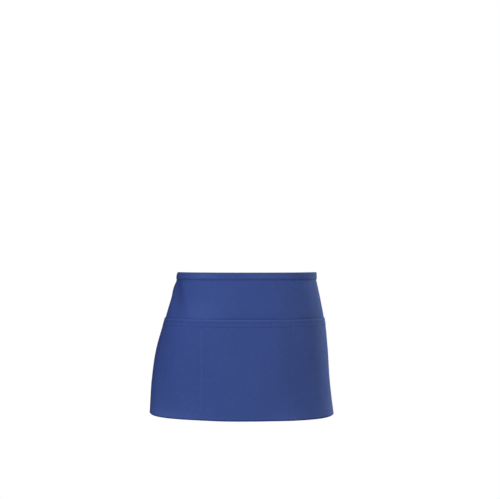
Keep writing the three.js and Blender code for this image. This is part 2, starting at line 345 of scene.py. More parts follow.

# Widths of the stitches' grooves, how far below the mouth they reach full depth, their depths and the painted
# shade in them
SIDE_GROOVE_WIDTH = 0.0009
MOUTH_GROOVE_WIDTH = 0.0008
DIVIDER_GROOVE_WIDTH = 0.0011
DIVIDER_GROOVE_STARTS = 0.002
BACK_GROOVE_STARTS = 0.004
SKIRT_GROOVE = 0.0002
BACK_GROOVE = 0.00025
POCKET_GROOVE = 0.0003
DIVIDER_GROOVE = 0.00012
SKIRT_STITCH_DARK = 0.5
MOUTH_STITCH_DARK = 0.75
POCKET_SEAM_DARK = 0.15

# The pocket mouth's pale lip, with wear and a painted highlight, the painted highlights on the raised strips
# of its dividing seams, and the painted shade along its rolled bottom edge
LIP_WEAR_AND_HIGHLIGHT = 0.5
LIP_HEIGHT = 0.0048
LIP_SOFT = 0.0016
LEFT_STRIP_HIGHLIGHT = 0.30
RIGHT_STRIP_HIGHLIGHT = 0.12
STRIP_GROWS = 0.01
ROLL_DARK = 1.1
ROLL_DARK_HEIGHT = 0.0026
ROLL_DARK_SOFT = 0.0016

# A tie from the knot: distance out to its own side, behind the waist and down,
# the lean of its width in degrees, and its width
Station = namedtuple("Station", "out back down tilt width")
BOW_LOOP = [
    Station(0.0080, 0.0017, 0.0000, 1, TIE_GATHERED),
    Station(0.0200, 0.0026, 0.0026, 14, 0.0114),
    Station(0.0480, 0.0044, 0.0135, 27, TIE_WIDTH),
    Station(0.0780, 0.0085, 0.0320, 35, TIE_WIDTH),
    Station(0.0950, 0.0150, 0.0445, 38, TIE_WIDTH),
    Station(0.0990, 0.0210, 0.0475, 38, TIE_WIDTH),
    Station(0.0930, 0.0265, 0.0430, 37, TIE_WIDTH),
    Station(0.0740, 0.0280, 0.0295, 34, TIE_WIDTH),
    Station(0.0470, 0.0205, 0.0130, 27, TIE_WIDTH),
    Station(0.0230, 0.0086, 0.0034, 15, 0.0114),
    Station(0.0095, 0.0037, 0.0002, 2, TIE_GATHERED),
]
FREE_START = [
    Station(0.0075, 0.0049, 0.0000, 0, TIE_GATHERED),
    Station(0.0135, 0.0072, 0.0035, 46, TIE_GATHERED),
    Station(0.0170, 0.0082, 0.0125, 74, 0.0106),
    Station(0.0205, 0.0076, 0.0300, 80, TIE_WIDTH),
]
FREE_END = {
    -1: [
        Station(0.0250, 0.0048, 0.0640, 82, TIE_WIDTH),
        Station(0.0325, 0.0062, 0.1100, 86, TIE_WIDTH),
        Station(0.0352, 0.0086, 0.1580, 84, TIE_WIDTH),
        Station(0.0362, 0.0060, 0.2080, 88, TIE_WIDTH),
    ],
    1: [
        Station(0.0262, 0.0060, 0.0700, 82, TIE_WIDTH),
        Station(0.0310, 0.0036, 0.1150, 84, TIE_WIDTH),
        Station(0.0372, 0.0056, 0.1650, 87, TIE_WIDTH),
        Station(0.0402, 0.0084, 0.2145, 85, TIE_WIDTH),
    ],
}

# Colours of the cloth and thread, and the twill's weave: random streaks, so many to the metre across
# and along the cloth, with how deeply they change its tone
CLOTH_BLUE = (0.046, 0.077, 0.236)
# The pale colour of worn edges and painted highlights, and the dark colour of painted shade
CLOTH_WORN_AND_HIGHLIGHT = (0.125, 0.175, 0.430, 1)
CLOTH_SHADE = (0.014, 0.028, 0.110, 1)
THREAD_BLUE = (0.042, 0.073, 0.245, 1)
THREAD_LIGHT = (0.068, 0.108, 0.315, 1)
Streak = namedtuple("Streak", "across along depth")
MOTTLE = Streak(11, 7, 0.07)
WARP = Streak(900, 90, 0.10)
WEFT = Streak(90, 900, 0.08)
STREAK_LOW = 0.32
STREAK_HIGH = 0.68
TWILL_PITCH = 0.0007
TWILL_DEPTH = 0.16
PALE_ON_RIBS = 0.45
PAINTED_SHADE_DEPTH = 0.5

# Radians that the wave node turns through in each unit, at a scale of 1
WAVE_NODE_RADIANS = 10

# Floor, lights, sky and camera
FLOOR_DROP = 1.0
FLOOR_REACH = 2.4
FLOOR_FADES = 0.15 * FLOOR_REACH
FLOOR_GONE = 0.95 * FLOOR_REACH
FLOOR_PALE = (0.92, 0.92, 0.92, 1)
Lamp = namedtuple("Lamp", "name place size power tint")
LAMPS = [
    Lamp("key", (-1.55, -2.68, 0.68), 1.4, 69, (0.66, 0.75, 1.0)),
    Lamp("front_fill", (0.14, -1.55, 2.68), 1.4, 39, (0.80, 0.78, 1.0)),
    Lamp("rim", (2.53, 1.77, 0.68), 1.4, 105, (0.92, 0.94, 1.0)),
    Lamp("back_fill", (0.2, 3.6, 0.9), 2.5, 40, (1.0, 0.97, 0.94)),
]
SKY_TINT = (1, 0.97, 0.60, 1)
SKY_WHITE = (1, 1, 1, 1)
SKY_DIM = 0.0435
SKY_DIM_FROM = -0.9
SKY_BRIGHT = 0.3915
SKY_BRIGHT_FROM = 0.3
CAMERA_SENSOR = 36.0
CAMERA_LENS = 98.1
CAMERA_PLACE = (0.0053, -2.915, 0.0477)


def smooth(value):
    """A soft step from 0 to 1."""
    value = np.clip(value, 0.0, 1.0)
    return value * value * (3 - 2 * value)


def bump_at(distance, width):
    """A soft bump, 1 in the middle."""
    return np.exp(-((distance / width) ** 2))


def line_at(line, position):
    """How strong a soft line is at a position."""
    return line.amount * bump_at(position - line.place, line.width)


def patches_at(patches, along, drop):
    """How strong a list of patches is at places on the cloth."""
    height = 0
    for patch in patches:
        beside = bump_at(along - patch.along, patch.along_size)
        height = height + patch.amount * beside * bump_at(drop - patch.drop, patch.drop_size)
    return height


def ruled(*stretches):
    """Positions along stretches given as (start, end, step), each step no longer than asked."""
    runs = [np.linspace(a, b, max(1, math.ceil((b - a) / step - HAIR)) + 1) for a, b, step in stretches]
    return np.unique(np.round(np.concatenate(runs), DECIMALS))


def rumple(along, drop, uneven):
    """Smooth random height between about -1 and 1."""
    a, d = np.broadcast_arrays(along / uneven.along_size, drop / uneven.drop_size)
    heights = [noise.noise(Vector((x, y, uneven.seed))) for x, y in zip(a.ravel(), d.ravel())]
    return np.array(heights).reshape(a.shape)


def unit(vectors):
    return vectors / np.linalg.norm(vectors, axis=-1, keepdims=True)


# The worn shape


def outline_size(column, drop):
    """One column of the outline at any drop, as a smooth curve through its rows."""
    last = len(OUTLINE) - 1
    at = min(max(drop, OUTLINE[0].drop), OUTLINE[last].drop)
    row = max(i for i in range(last) if i == 0 or OUTLINE[i].drop < at)

    def slope(i):
        before, after = OUTLINE[max(0, i - 1)], OUTLINE[min(last, i + 1)]
        return (getattr(after, column) - getattr(before, column)) / (after.drop - before.drop)

    low, high = OUTLINE[row], OUTLINE[row + 1]
    span = high.drop - low.drop
    t = (at - low.drop) / span
    blend = float(smooth(t))
    bend = slope(row) * t * (1 - t) ** 2 - slope(row + 1) * t * t * (1 - t)
    return getattr(low, column) * (1 - blend) + getattr(high, column) * blend + span * bend


@lru_cache(maxsize=None)
def plan_curve(drop, side):
    """Distances along the cloth at one level and the plan places there, from front to back."""
    turn = np.linspace(0, math.pi, OUTLINE_STEPS + 1)
    half = outline_size("right" if side > 0 else "left", drop)
    depth = np.where(turn < math.pi / 2, outline_size("front", drop), outline_size("back", drop))
    square = outline_size("square", drop)
    across, ahead = np.sin(turn), -np.cos(turn)
    reach = (np.abs(across / half) ** square + np.abs(ahead / depth) ** square) ** (-1 / square)
    x, y = side * across * reach, ahead * reach
    lengths = np.concatenate([[0], np.cumsum(np.hypot(np.diff(x), np.diff(y)))])
    return lengths, x, y


def body_points(along, drop):
    """Points of the skirt's middle surface before its folds."""
    along, drop = np.broadcast_arrays(np.asarray(along, float), np.asarray(drop, float))
    points = np.zeros(along.shape + (3,))
    for level in np.unique(drop):
        for side in (-1, 1):
            here = (drop == level) & ((along >= 0) == (side > 0))
            lengths, x, y = plan_curve(float(level), side)
            points[here, 0] = np.interp(np.abs(along[here]), lengths, x)
            points[here, 1] = np.interp(np.abs(along[here]), lengths, y)
    dip = BACK_DIP * smooth((np.abs(along) - DIP_STARTS) / (DIP_ENDS - DIP_STARTS))
    below = np.clip((drop - WAISTBAND_HEIGHT) / (SKIRT_LENGTH - WAISTBAND_HEIGHT), 0, 1)
    lift = HEM_RISE * np.clip(np.abs(along) / HALF_WIDTH, 0, 1) ** HEM_RISE_POWER * below
    for place in HEM_LIFTS:
        lift = lift + place.up * bump_at(along - place.along, place.width) * below ** HEM_LIFT_POWER
    points[..., 2] = lift - drop - dip
    return points


def body_frame(along, drop):
    """Points of the skirt's middle surface with their outward and downward directions."""
    across = body_points(along + SLOPE_STEP, drop) - body_points(along - SLOPE_STEP, drop)
    downward = body_points(along, drop + SLOPE_STEP) - body_points(along, drop - SLOPE_STEP)
    return body_points(along, drop), unit(np.cross(downward, across)), unit(downward)


def side_distance(along):
    """Distance from the nearer side edge."""
    return HALF_WIDTH - np.abs(along)


def crease_height(crease, along, drop):
    """Height of one crease, tapering to both of its ends."""
    run = np.array([crease.to_along - crease.along, crease.to_drop - crease.drop])
    length = np.linalg.norm(run)
    run = run / length
    ahead = ((along - crease.along) * run[0] + (drop - crease.drop) * run[1]) / length
    aside = (along - crease.along) * run[1] - (drop - crease.drop) * run[0]
    return crease.out * np.sin(math.pi * np.clip(ahead, 0, 1)) * bump_at(aside, crease.width)


def gather_height(along, drop):
    """Height of the gathers below the waistband, which are deeper behind."""
    grown = smooth((drop - WAISTBAND_HEIGHT) / GATHERS.grows)
    fading = bump_at(np.maximum(drop - GATHERS.fades_from, 0), GATHERS.fades)
    behind = smooth((np.abs(along) - GATHERS.behind_from) / GATHERS.behind_grows)
    height = GATHERS.out + GATHERS.behind_out * behind
    return height * grown * fading * rumple(along, drop, GATHERS.uneven)


def pucker_height(along, drop):
    """Height of the puckers beside the dividing seams."""
    near = bump_at(along + DIVIDER, PUCKERS.width) + bump_at(along - DIVIDER, PUCKERS.width)
    grown = smooth((drop - POCKET_DROP) / PUCKERS.grows)
    return PUCKERS.out * near * grown * rumple(along, drop, PUCKERS.uneven)


def hip_height(along, drop):
    """Height of the flat of the left hip, which leans forward as it goes down."""
    middle = HIP_FLAT.along + (HIP_FLAT.to_along - HIP_FLAT.along) * drop / HIP_FLAT.gone
    grown = smooth((drop - HIP_FLAT.begins) / HIP_FLAT.grows)
    fading = smooth((drop - HIP_FLAT.fades) / (HIP_FLAT.gone - HIP_FLAT.fades))
    return HIP_FLAT.out * grown * (1 - fading) * bump_at(along - middle, HIP_FLAT.width)


def sway_height(along, drop):
    """How far the free edges behind sway in and out."""
    near = bump_at(side_distance(along), EDGE_SWAY.width)
    grown = smooth((drop - EDGE_SWAY.begins) / EDGE_SWAY.grows)
    turn = 2 * math.pi * drop / EDGE_SWAY.length + EDGE_SWAY.shift * np.sign(along)
    return EDGE_SWAY.out * near * grown * np.sin(turn)


def drape(along, drop):
    """Height of the cloth's folds, creases and soft unevenness."""
    height = gather_height(along, drop) + pucker_height(along, drop)
    height = height + hip_height(along, drop) + sway_height(along, drop)
    height = height + patches_at(HOLLOWS, along, drop)
    for fold in FOLDS:
        grown = smooth((drop - fold.begins) / (SKIRT_LENGTH - fold.begins))
        height = height + fold.out * grown * bump_at(along - fold.along, fold.width)
    for crease in CREASES:
        height = height + crease_height(crease, along, drop)
    for wave in WAVES:
        grown = smooth((drop - wave.begins) / wave.grows)
        height = height + wave.out * grown * rumple(along, drop, wave.uneven)
    return height


def cloth_frame(along, drop):
    """The cloth's own frame: its place with folds, its outward and its downward direction."""
    points, outward, downward = body_frame(along, drop)
    return points + outward * drape(along, drop)[..., None], outward, downward


# Making meshes

Face = namedtuple("Face", "out sink")


def edge_round(distance, radius=EDGE_RADIUS):
    """Share of the full thickness near a cloth edge."""
    inside = 1 - np.clip(distance / radius, 0, 1)
    return EDGE_THIN + (1 - EDGE_THIN) * np.sqrt(1 - inside * inside)


def edge_steps(edge, inward):
    """Positions that round a cloth edge."""
    return np.sort(edge + inward * EDGE_RADIUS * EDGE_SHARES)


def add_object(name, data):
    """An object in the scene, at the origin."""
    made = bpy.data.objects.new(name, data)
    bpy.context.collection.objects.link(made)
    return made


def skin_mesh(name, rings, uv, marks, endless=False):
    """A closed skin over rings of points, capped at both ends or endless; marks are values at each point."""
    columns, count = rings.shape[:2]
    index = np.arange(columns * count).reshape(columns, count)
    here, there = (index, np.roll(index, -1, 0)) if endless else (index[:-1], index[1:])
    quads = np.stack([here, np.roll(here, -1, 1), np.roll(there, -1, 1), there], -1).reshape(-1, 4)
    if not endless:
        i = np.arange(count // 2 - 1)
        caps = [
            np.stack([end[i], end[count - 1 - i], end[count - 2 - i], end[i + 1]], -1)[:, ::turn]
            for end, turn in ((index[0], 1), (index[-1], -1))
        ]
        quads = np.concatenate([quads, *caps])
    points = rings.reshape(-1, 3)
    a, b, c, d = (points[quads[:, k]] for k in range(4))
    volume = np.einsum("ij,ij->i", np.cross(a, b), c) + np.einsum("ij,ij->i", np.cross(a, c), d)
    if volume.sum() < 0:
        quads = quads[:, ::-1]
    mesh = bpy.data.meshes.new(name)
    mesh.from_pydata(points.tolist(), [], quads.tolist())
    mesh.polygons.foreach_set("use_smooth", np.ones(len(quads), bool))
    corner_points = np.empty(len(mesh.loops), np.int32)
    mesh.loops.foreach_get("vertex_index", corner_points)
    mesh.uv_layers.new(name="weave").data.foreach_set("uv", uv.reshape(-1, 2)[corner_points].ravel())
    for mark, values in marks.items():
        layer = mesh.attributes.new(mark, "FLOAT", "POINT")
        layer.data.foreach_set("value", np.broadcast_to(values, rings.shape[:2]).ravel().astype(np.float32))
    mesh.update()
    return add_object(name, mesh)


def cloth_wall(name, along, drop, outer, inner, paleness, press_and_shade):
    """A closed cloth wall between two faces laid on the body, with its paleness from wear and painted
    highlights, and its painted shade.
    """
    grid_along, grid_drop = np.meshgrid(along, drop)
    base, outward, downward = cloth_frame(grid_along, grid_drop)

    def place(face):
        out = np.broadcast_to(face.out, grid_along.shape)[..., None]
        sink = np.broadcast_to(face.sink, grid_along.shape)[..., None]
        return base + outward * out + downward * sink

    def both(front, back):
        return np.swapaxes(np.concatenate([front, back[::-1]]), 0, 1)

    uv_faces = [
        np.stack([grid_along, grid_drop + np.broadcast_to(face.sink, grid_along.shape)], -1)
        for face in (outer, inner)
    ]
    marks = {"wear_and_highlight": both(paleness, paleness), "painted_shade": both(press_and_shade, press_and_shade)}
    return skin_mesh(name, both(place(outer), place(inner)), both(*uv_faces), marks)


def strip_rings(outer, inner):
    """Rings round a strip, across its outer face and back across its inner one."""
    return np.concatenate([outer, inner[:, ::-1]], axis=1)


# Skirt and pocket panel


def cloth_columns():
    """Column places for the skirt and pocket, closer at the side hems and dividing seams."""
    hem = HALF_WIDTH - SIDE_HEM - HEM_REACH
    right = ruled(
        (0, DIVIDER - SEAM_REACH, COLUMN),
        (DIVIDER - SEAM_REACH, DIVIDER + SEAM_REACH / 2, SEAM_COLUMN),
        (DIVIDER + SEAM_REACH / 2, hem, COLUMN),
        (hem, HALF_WIDTH - EDGE_RADIUS, HEM_COLUMN),
    )
    right = np.unique(np.concatenate([right, edge_steps(HALF_WIDTH, -1)]))
    return np.concatenate([-right[:0:-1], right])


def seam_distance(along):
    """Distance from the middle of the nearer dividing seam."""
    return np.abs(np.abs(along) - DIVIDER + TWIN_NEEDLE / 2)


def seam_strip(along):
    """The raised strip between a dividing seam's two rows of stitches."""
    return smooth((TWIN_NEEDLE / 2 - seam_distance(along)) / SEAM_RIDGE_EDGE)


def divider_press(along):
    """How strongly the dividing seams' two rows of stitches press the cloth."""
    return sum(bump_at(along - row, DIVIDER_GROOVE_WIDTH) for row in DIVIDER_ROWS)


def side_press(along):
    """How strongly the side hems' stitches press the cloth."""
    return bump_at(side_distance(along) - SIDE_STITCH, SIDE_GROOVE_WIDTH)


def skirt_faces(along, drop):
    """Outer and inner faces of the skirt, and the painted shade of its stitch grooves."""
    to_side = side_distance(along)
    half = CLOTH / 2 * edge_round(np.minimum(to_side, SKIRT_HEM - drop))
    in_hem = smooth((SIDE_HEM - to_side) / SIDE_HEM_STEP) * edge_round(to_side)
    below_band = smooth((drop - WAISTBAND_HEIGHT) / SIDE_HEM_THICKENS)
    hem_layers = SIDE_HEM_LAYERS * in_hem * below_band
    hem_stitch = side_press(along)
    in_pocket = smooth((drop - POCKET_DROP) / BACK_GROOVE_STARTS)
    press_and_shade = np.maximum(hem_stitch, divider_press(along) * in_pocket)
    outer = half - SKIRT_GROOVE * hem_stitch
    inner = BACK_GROOVE * press_and_shade - half - hem_layers
    return outer, inner, SKIRT_STITCH_DARK * press_and_shade


def make_skirt():
    along = cloth_columns()
    band, mouth = WAISTBAND_HEIGHT, POCKET_DROP
    drop = ruled(
        (SKIRT_TOP, band - FINE_IN_BAND, HIDDEN_ROW),
        (band - FINE_IN_BAND, band + FINE_REACH, FINE_ROW),
        (band + FINE_REACH, mouth - FINE_REACH, ROW),
        (mouth - FINE_REACH, mouth + FINE_REACH, FINE_ROW),
        (mouth + FINE_REACH, SKIRT_HEM - EDGE_RADIUS, ROW),
    )
    drop = np.unique(np.concatenate([drop, edge_steps(SKIRT_HEM, -1)]))
    grid_along, grid_drop = np.meshgrid(along, drop)
    outer, inner, press_and_shade = skirt_faces(grid_along, grid_drop)
    side_wear = line_at(SIDE_WORN, side_distance(grid_along))
    # Wear at the side edges, and a painted highlight above the left pocket
    paleness = np.maximum(side_wear, patches_at(SKIRT_PAINTED_HIGHLIGHT, grid_along, grid_drop))
    # Painted shade in the stitch grooves, and painted shadows under the waistband and behind the pocket
    # mouths
    under_band = line_at(UNDER_BAND_DARK, np.maximum(grid_drop - band, 0))
    shade = np.max([press_and_shade, under_band, line_at(BEHIND_MOUTH_DARK, grid_drop)], axis=0)
    return cloth_wall("apron_skirt", along, drop, Face(outer, 0), Face(inner, 0), paleness, shade)


def pocket_gape(along, drop):
    """How far the pocket panel stands off the skirt."""
    gape = sum(
        g.out * np.sin(math.pi * np.clip((along - g.start) / (g.end - g.start), 0, 1)) ** 2 for g in GAPES
    )
    down = np.clip((drop - POCKET_DROP) / (SKIRT_LENGTH - POCKET_DROP), 0, 1)
    return MOUTH_OPEN * gape * (1 - down * down)


def pocket_puff(along, drop):
    """The pocket panel's puff beside its dividing seams and the unevenness of its mouth."""
    from_mouth = drop - POCKET_DROP
    down = from_mouth / (SKIRT_LENGTH - POCKET_DROP)
    seam = seam_distance(along)
    beside = (1 - bump_at(seam, SEAM_PUFF.near)) * bump_at(seam, SEAM_PUFF.far)
    mouth = rumple(along, drop, MOUTH_WAVE.uneven) * bump_at(from_mouth, MOUTH_WAVE.fades)
    return SEAM_PUFF.out * beside * (1 - down ** SEAM_PUFF.power) + MOUTH_WAVE.out * mouth


def pocket_faces(along, drop):
    """Outer and inner faces of the pocket panel above its roll, and the painted shade of its stitch grooves.

    The inner face keeps clear of the skirt.
    """
    from_mouth = drop - POCKET_DROP
    rows = sum(bump_at(from_mouth - row, MOUTH_GROOVE_WIDTH) for row in MOUTH_STITCHES)
    dividers = divider_press(along) * smooth(from_mouth / DIVIDER_GROOVE_STARTS)
    hem_stitch = side_press(along)
    half = CLOTH / 2 * edge_round(np.minimum(side_distance(along), from_mouth))
    layers = MOUTH_HEM_LAYERS * smooth((MOUTH_HEM - from_mouth) / MOUTH_HEM_STEP) * edge_round(from_mouth)
    off_seam = 1 - bump_at(seam_distance(along), SEAM_FLAT)
    inner_layers = (1 - MOUTH_HEM_OUTSIDE) * layers * off_seam
    hung = POCKET_LAYER + pocket_gape(along, drop) + pocket_puff(along, drop)
    middle = np.maximum(hung, CLOTH / 2 + POCKET_CLEAR + inner_layers + half)
    groove = POCKET_GROOVE * np.maximum(rows, hem_stitch) + DIVIDER_GROOVE * dividers
    outer = middle + half + MOUTH_HEM_OUTSIDE * layers + SEAM_RIDGE * seam_strip(along) - groove
    inner = middle - half - inner_layers
    # Painted shade in the stitch grooves
    press_and_shade = MOUTH_STITCH_DARK * rows + POCKET_SEAM_DARK * np.maximum(dividers, hem_stitch)
    return outer, inner, press_and_shade


def pocket_sag(drop):
    """How far the panel's mouth and its bottom edge hang below their seams."""
    at_mouth = 1 - smooth((drop - POCKET_DROP - MOUTH_HEM) / SAG_FADES)
    at_bottom = smooth((drop - SKIRT_LENGTH + SAG_FADES) / SAG_FADES)
    return MOUTH_SAG * at_mouth + POCKET_SAG * at_bottom


def pocket_wear_and_highlight(along, drop, to_bottom):
    """How pale the pocket panel is at its mouth, hem, bottom edge and seams, from wear and painted
    highlights.
    """
    mouth = drop - POCKET_DROP
    # The lip below the mouth is paler with wear and a painted highlight
    lip = LIP_WEAR_AND_HIGHLIGHT * smooth((LIP_HEIGHT - mouth) / LIP_SOFT)
    # Painted highlights on the raised strips of the dividing seams, stronger on the left
    strip = np.where(along < 0, LEFT_STRIP_HIGHLIGHT, RIGHT_STRIP_HIGHLIGHT) * seam_strip(along)
    pale_marks = [
        lip,
        line_at(MOUTH_EDGE_WEAR_AND_HIGHLIGHT, mouth),
        line_at(MOUTH_HEM_WEAR_AND_HIGHLIGHT, mouth),
        line_at(BOTTOM_WEAR_AND_HIGHLIGHT, to_bottom),
        strip * smooth((mouth - MOUTH_HEM) / STRIP_GROWS),
        patches_at(POCKET_PAINTED_HIGHLIGHTS, along, drop),
    ]
    return np.max(pale_marks, axis=0)


def make_pocket_panel():
    along = cloth_columns()
    hem_end, bottom = POCKET_DROP + MOUTH_HEM + MOUTH_REACH, SKIRT_LENGTH - POCKET_ROLL
    flat = ruled(
        (POCKET_DROP + EDGE_RADIUS, hem_end, MOUTH_ROW),
        (hem_end, bottom - ROLL_REACH, ROW),
        (bottom - ROLL_REACH, bottom, ROLL_ROW),
    )
    flat = np.unique(np.concatenate([edge_steps(POCKET_DROP, 1), flat]))
    drop = np.concatenate([flat, flat[-1] + HAIR * np.arange(1, len(POCKET_ROLL_TURNS) + 1)])
    grid_along, grid_drop = np.meshgrid(along, drop)
    outer, inner, press_and_shade = pocket_faces(grid_along, grid_drop)
    turn = np.concatenate([np.zeros(len(flat)), POCKET_ROLL_TURNS])[:, None]
    rolled = turn > 0
    middle, half = (outer + inner) / 2, (outer - inner) / 2
    half[-1] *= POCKET_ROLL_THIN
    faces = []
    for sign in (1, -1):
        radius = POCKET_ROLL + sign * half
        out = np.where(rolled, middle - POCKET_ROLL + radius * np.cos(turn), middle + sign * half)
        faces.append(Face(out, pocket_sag(grid_drop) + np.where(rolled, radius * np.sin(turn), 0.0)))
    paleness = pocket_wear_and_highlight(grid_along, grid_drop, np.where(rolled, 0.0, flat[-1] - grid_drop))
    # Painted shade along the rolled bottom edge
    under = smooth((grid_drop - flat[-1] + ROLL_DARK_HEIGHT) / ROLL_DARK_SOFT)
    shade = np.maximum(press_and_shade, ROLL_DARK * under)
    return cloth_wall("apron_pocket_panel", along, drop, *faces, paleness, shade)


# Waistband


def waistband_lip(drop):
    """Share of the way from the waistband's stitches to its free edge."""
    return smooth((drop - WAISTBAND_STITCH) / (WAISTBAND_HEIGHT - WAISTBAND_STITCH))


def waistband_leg(along, drop, side):
    """Distance of a waistband leg's middle from the skirt's, swollen between its fold and its stitches."""
    down = (drop - WAISTBAND_SHOULDER) / (WAISTBAND_STITCH - WAISTBAND_SHOULDER)
    ripple = rumple(along, side * LEG_APART, LEG_RIPPLE)
    swell = np.sin(math.pi * np.clip(down, 0, 1)) * (1 + WAISTBAND_SWELL_RIPPLE * ripple)
    lip = waistband_lip(drop) * (1 + ripple)
    return WAISTBAND_FOLD + WAISTBAND_SWELL * swell + WAISTBAND_LIP * lip - line_at(BAND_GROOVE, drop)


def make_waistband():
    """A strip folded over the skirt's top edge; its profile runs up the front leg and down the back one."""
    middle = ruled((-HALF_WIDTH, HALF_WIDTH, BAND_COLUMN))
    end = ruled((HALF_WIDTH, WAISTBAND_END - EDGE_RADIUS, BAND_END_COLUMN))
    end = np.concatenate([end, edge_steps(WAISTBAND_END, -1)])
    along = np.unique(np.concatenate([-end, middle, end]))
    leg = ruled((WAISTBAND_SHOULDER, WAISTBAND_HEIGHT - EDGE_RADIUS, BAND_ROW))
    leg = np.unique(np.concatenate([leg, edge_steps(WAISTBAND_HEIGHT, -1)]))
    arc = np.radians(np.arange(BAND_FOLD_DEGREES, 180, BAND_FOLD_DEGREES))
    fold = WAISTBAND_SHOULDER + HAIR * np.arange(len(arc), 0, -1)
    drop = np.concatenate([leg[::-1], fold, leg])
    turn = np.concatenate([np.zeros(len(leg)), arc, np.full(len(leg), math.pi)])[:, None]
    grid_along, grid_drop = np.meshgrid(along, drop)
    to_edge = np.minimum(WAISTBAND_HEIGHT - grid_drop, WAISTBAND_END - np.abs(grid_along))
    half = CLOTH / 2 * edge_round(to_edge)
    on_leg = np.sin(turn) < HAIR
    radius = np.where(on_leg, waistband_leg(grid_along, grid_drop, np.cos(turn)), WAISTBAND_FOLD)
    wander = rumple(grid_along, np.cos(turn) * LEG_APART, LEG_WANDER) * waistband_lip(grid_drop)
    faces = []
    for sign in (1, -1):
        reach = radius + sign * half
        faces.append(Face(reach * np.cos(turn), WAISTBAND_WANDER * wander - reach * np.sin(turn)))
    # Wear and painted highlights on the fold and the front, and wear at the free edges
    pale_marks = [
        line_at(BAND_FOLD_WEAR_AND_HIGHLIGHT, grid_drop),
        line_at(BAND_EDGE_WORN, grid_drop),
        patches_at(WAISTBAND_PAINTED_HIGHLIGHTS, grid_along, grid_drop),
    ]
    # Painted shade in the stitch groove
    shade = line_at(BAND_STITCH_DARK, grid_drop)
    return cloth_wall("apron_waistband", along, drop, *faces, np.max(pale_marks, axis=0), shade)


# Ties and bow

KNOT = np.array([0.0, outline_size("back", TIE_MIDDLE), -TIE_MIDDLE - BACK_DIP])


def tie_stations(side):
    """Places, leans and widths of a tie from the waistband, through the knot and bow, to its free end."""
    places, tilts, widths = [], [], []

    def add(place, tilt, width):
        places.append(place)
        tilts.append(math.radians(tilt) * side)
        widths.append(width)

    def add_from_knot(station):
        add(KNOT + np.array([side * station.out, station.back, -station.down]), station.tilt, station.width)

    def add_fold(layer):
        for turn in np.linspace(0, math.pi, TIE_FOLD_PLACES):
            out = TIE_LAYER * (TIE_FOLD_OUT - math.sin(turn) / 2)
            back = TIE_LAYER * (layer + (1 - math.cos(turn)) / 2)
            add_from_knot(Station(out, back, 0.0, 0, TIE_GATHERED))

    along = WAISTBAND_END - TIE_SEWN_IN
    place = body_points(side * along, TIE_MIDDLE)
    while abs(place[0]) >= TIE_STRAND_STEP:
        widening = smooth((abs(place[0]) - KNOT_LENGTH) / TIE_WIDENS)
        add(place, 0, TIE_GATHERED + (TIE_WIDTH - TIE_GATHERED) * widening)
        along += TIE_STRAND_STEP
        place = body_points(side * along, TIE_MIDDLE)
    add_fold(0)
    for station in BOW_LOOP:
        add_from_knot(station)
    add_fold(2)
    for station in FREE_START + FREE_END[side]:
        add_from_knot(station)
    return np.array(places), np.array(tilts), np.array(widths)


def spline(places, per_span):
    """A smooth curve through places (centripetal), with a fixed number of steps in each span."""
    p = np.vstack([2 * places[0] - places[1], places, 2 * places[-1] - places[-2]])
    root = np.sqrt(np.linalg.norm(np.diff(p, axis=0), axis=1))
    t = np.arange(per_span)[:, None] / per_span
    curve = []
    for i in range(len(places) - 1):
        d0, d1, d2 = root[i:i + 3]
        p0, p1, p2, p3 = p[i:i + 4]
        t1 = d1 * ((p1 - p0) / d0 - (p2 - p0) / (d0 + d1) + (p2 - p1) / d1)
        t2 = d1 * ((p2 - p1) / d1 - (p3 - p1) / (d1 + d2) + (p3 - p2) / d2)
        curve.append(
            p1 + t1 * t + (3 * (p2 - p1) - 2 * t1 - t2) * t ** 2 + (2 * (p1 - p2) + t1 + t2) * t ** 3
        )
    return np.vstack([*curve, places[-1:]])


def tie_frame(side):
    """Middle line of a tie with its across and face directions, half widths and lengths."""
    places, tilts, widths = tie_stations(side)
    middle = spline(places, TIE_STEPS)
    at = np.linspace(0, len(places) - 1, len(middle))
    tilt = np.interp(at, np.arange(len(places)), tilts)
    half = np.interp(at, np.arange(len(places)), widths) / 2
    across = np.stack([np.sin(tilt), np.zeros_like(tilt), np.cos(tilt)], -1)
    tangent = unit(np.gradient(middle, axis=0))
    face = unit(np.cross(tangent, across))
    length = np.concatenate([[0], np.cumsum(np.linalg.norm(np.diff(middle, axis=0), axis=1))])
    return middle, across, face, half, length


def tie_pleats(middle, half, share):
    """Gathers of the strip beside the knot; share runs from -1 to 1 across it."""
    gathered = np.clip((TIE_WIDTH / 2 - half) / ((TIE_WIDTH - TIE_GATHERED) / 2), 0, 1)
    clear = smooth((np.abs(middle[:, 0]) - KNOT_LENGTH / 2) / PLEAT_BEGINS)
    return PLEAT_OUT * (gathered * clear)[:, None] * np.cos(PLEATS * math.pi * share)[None, :]


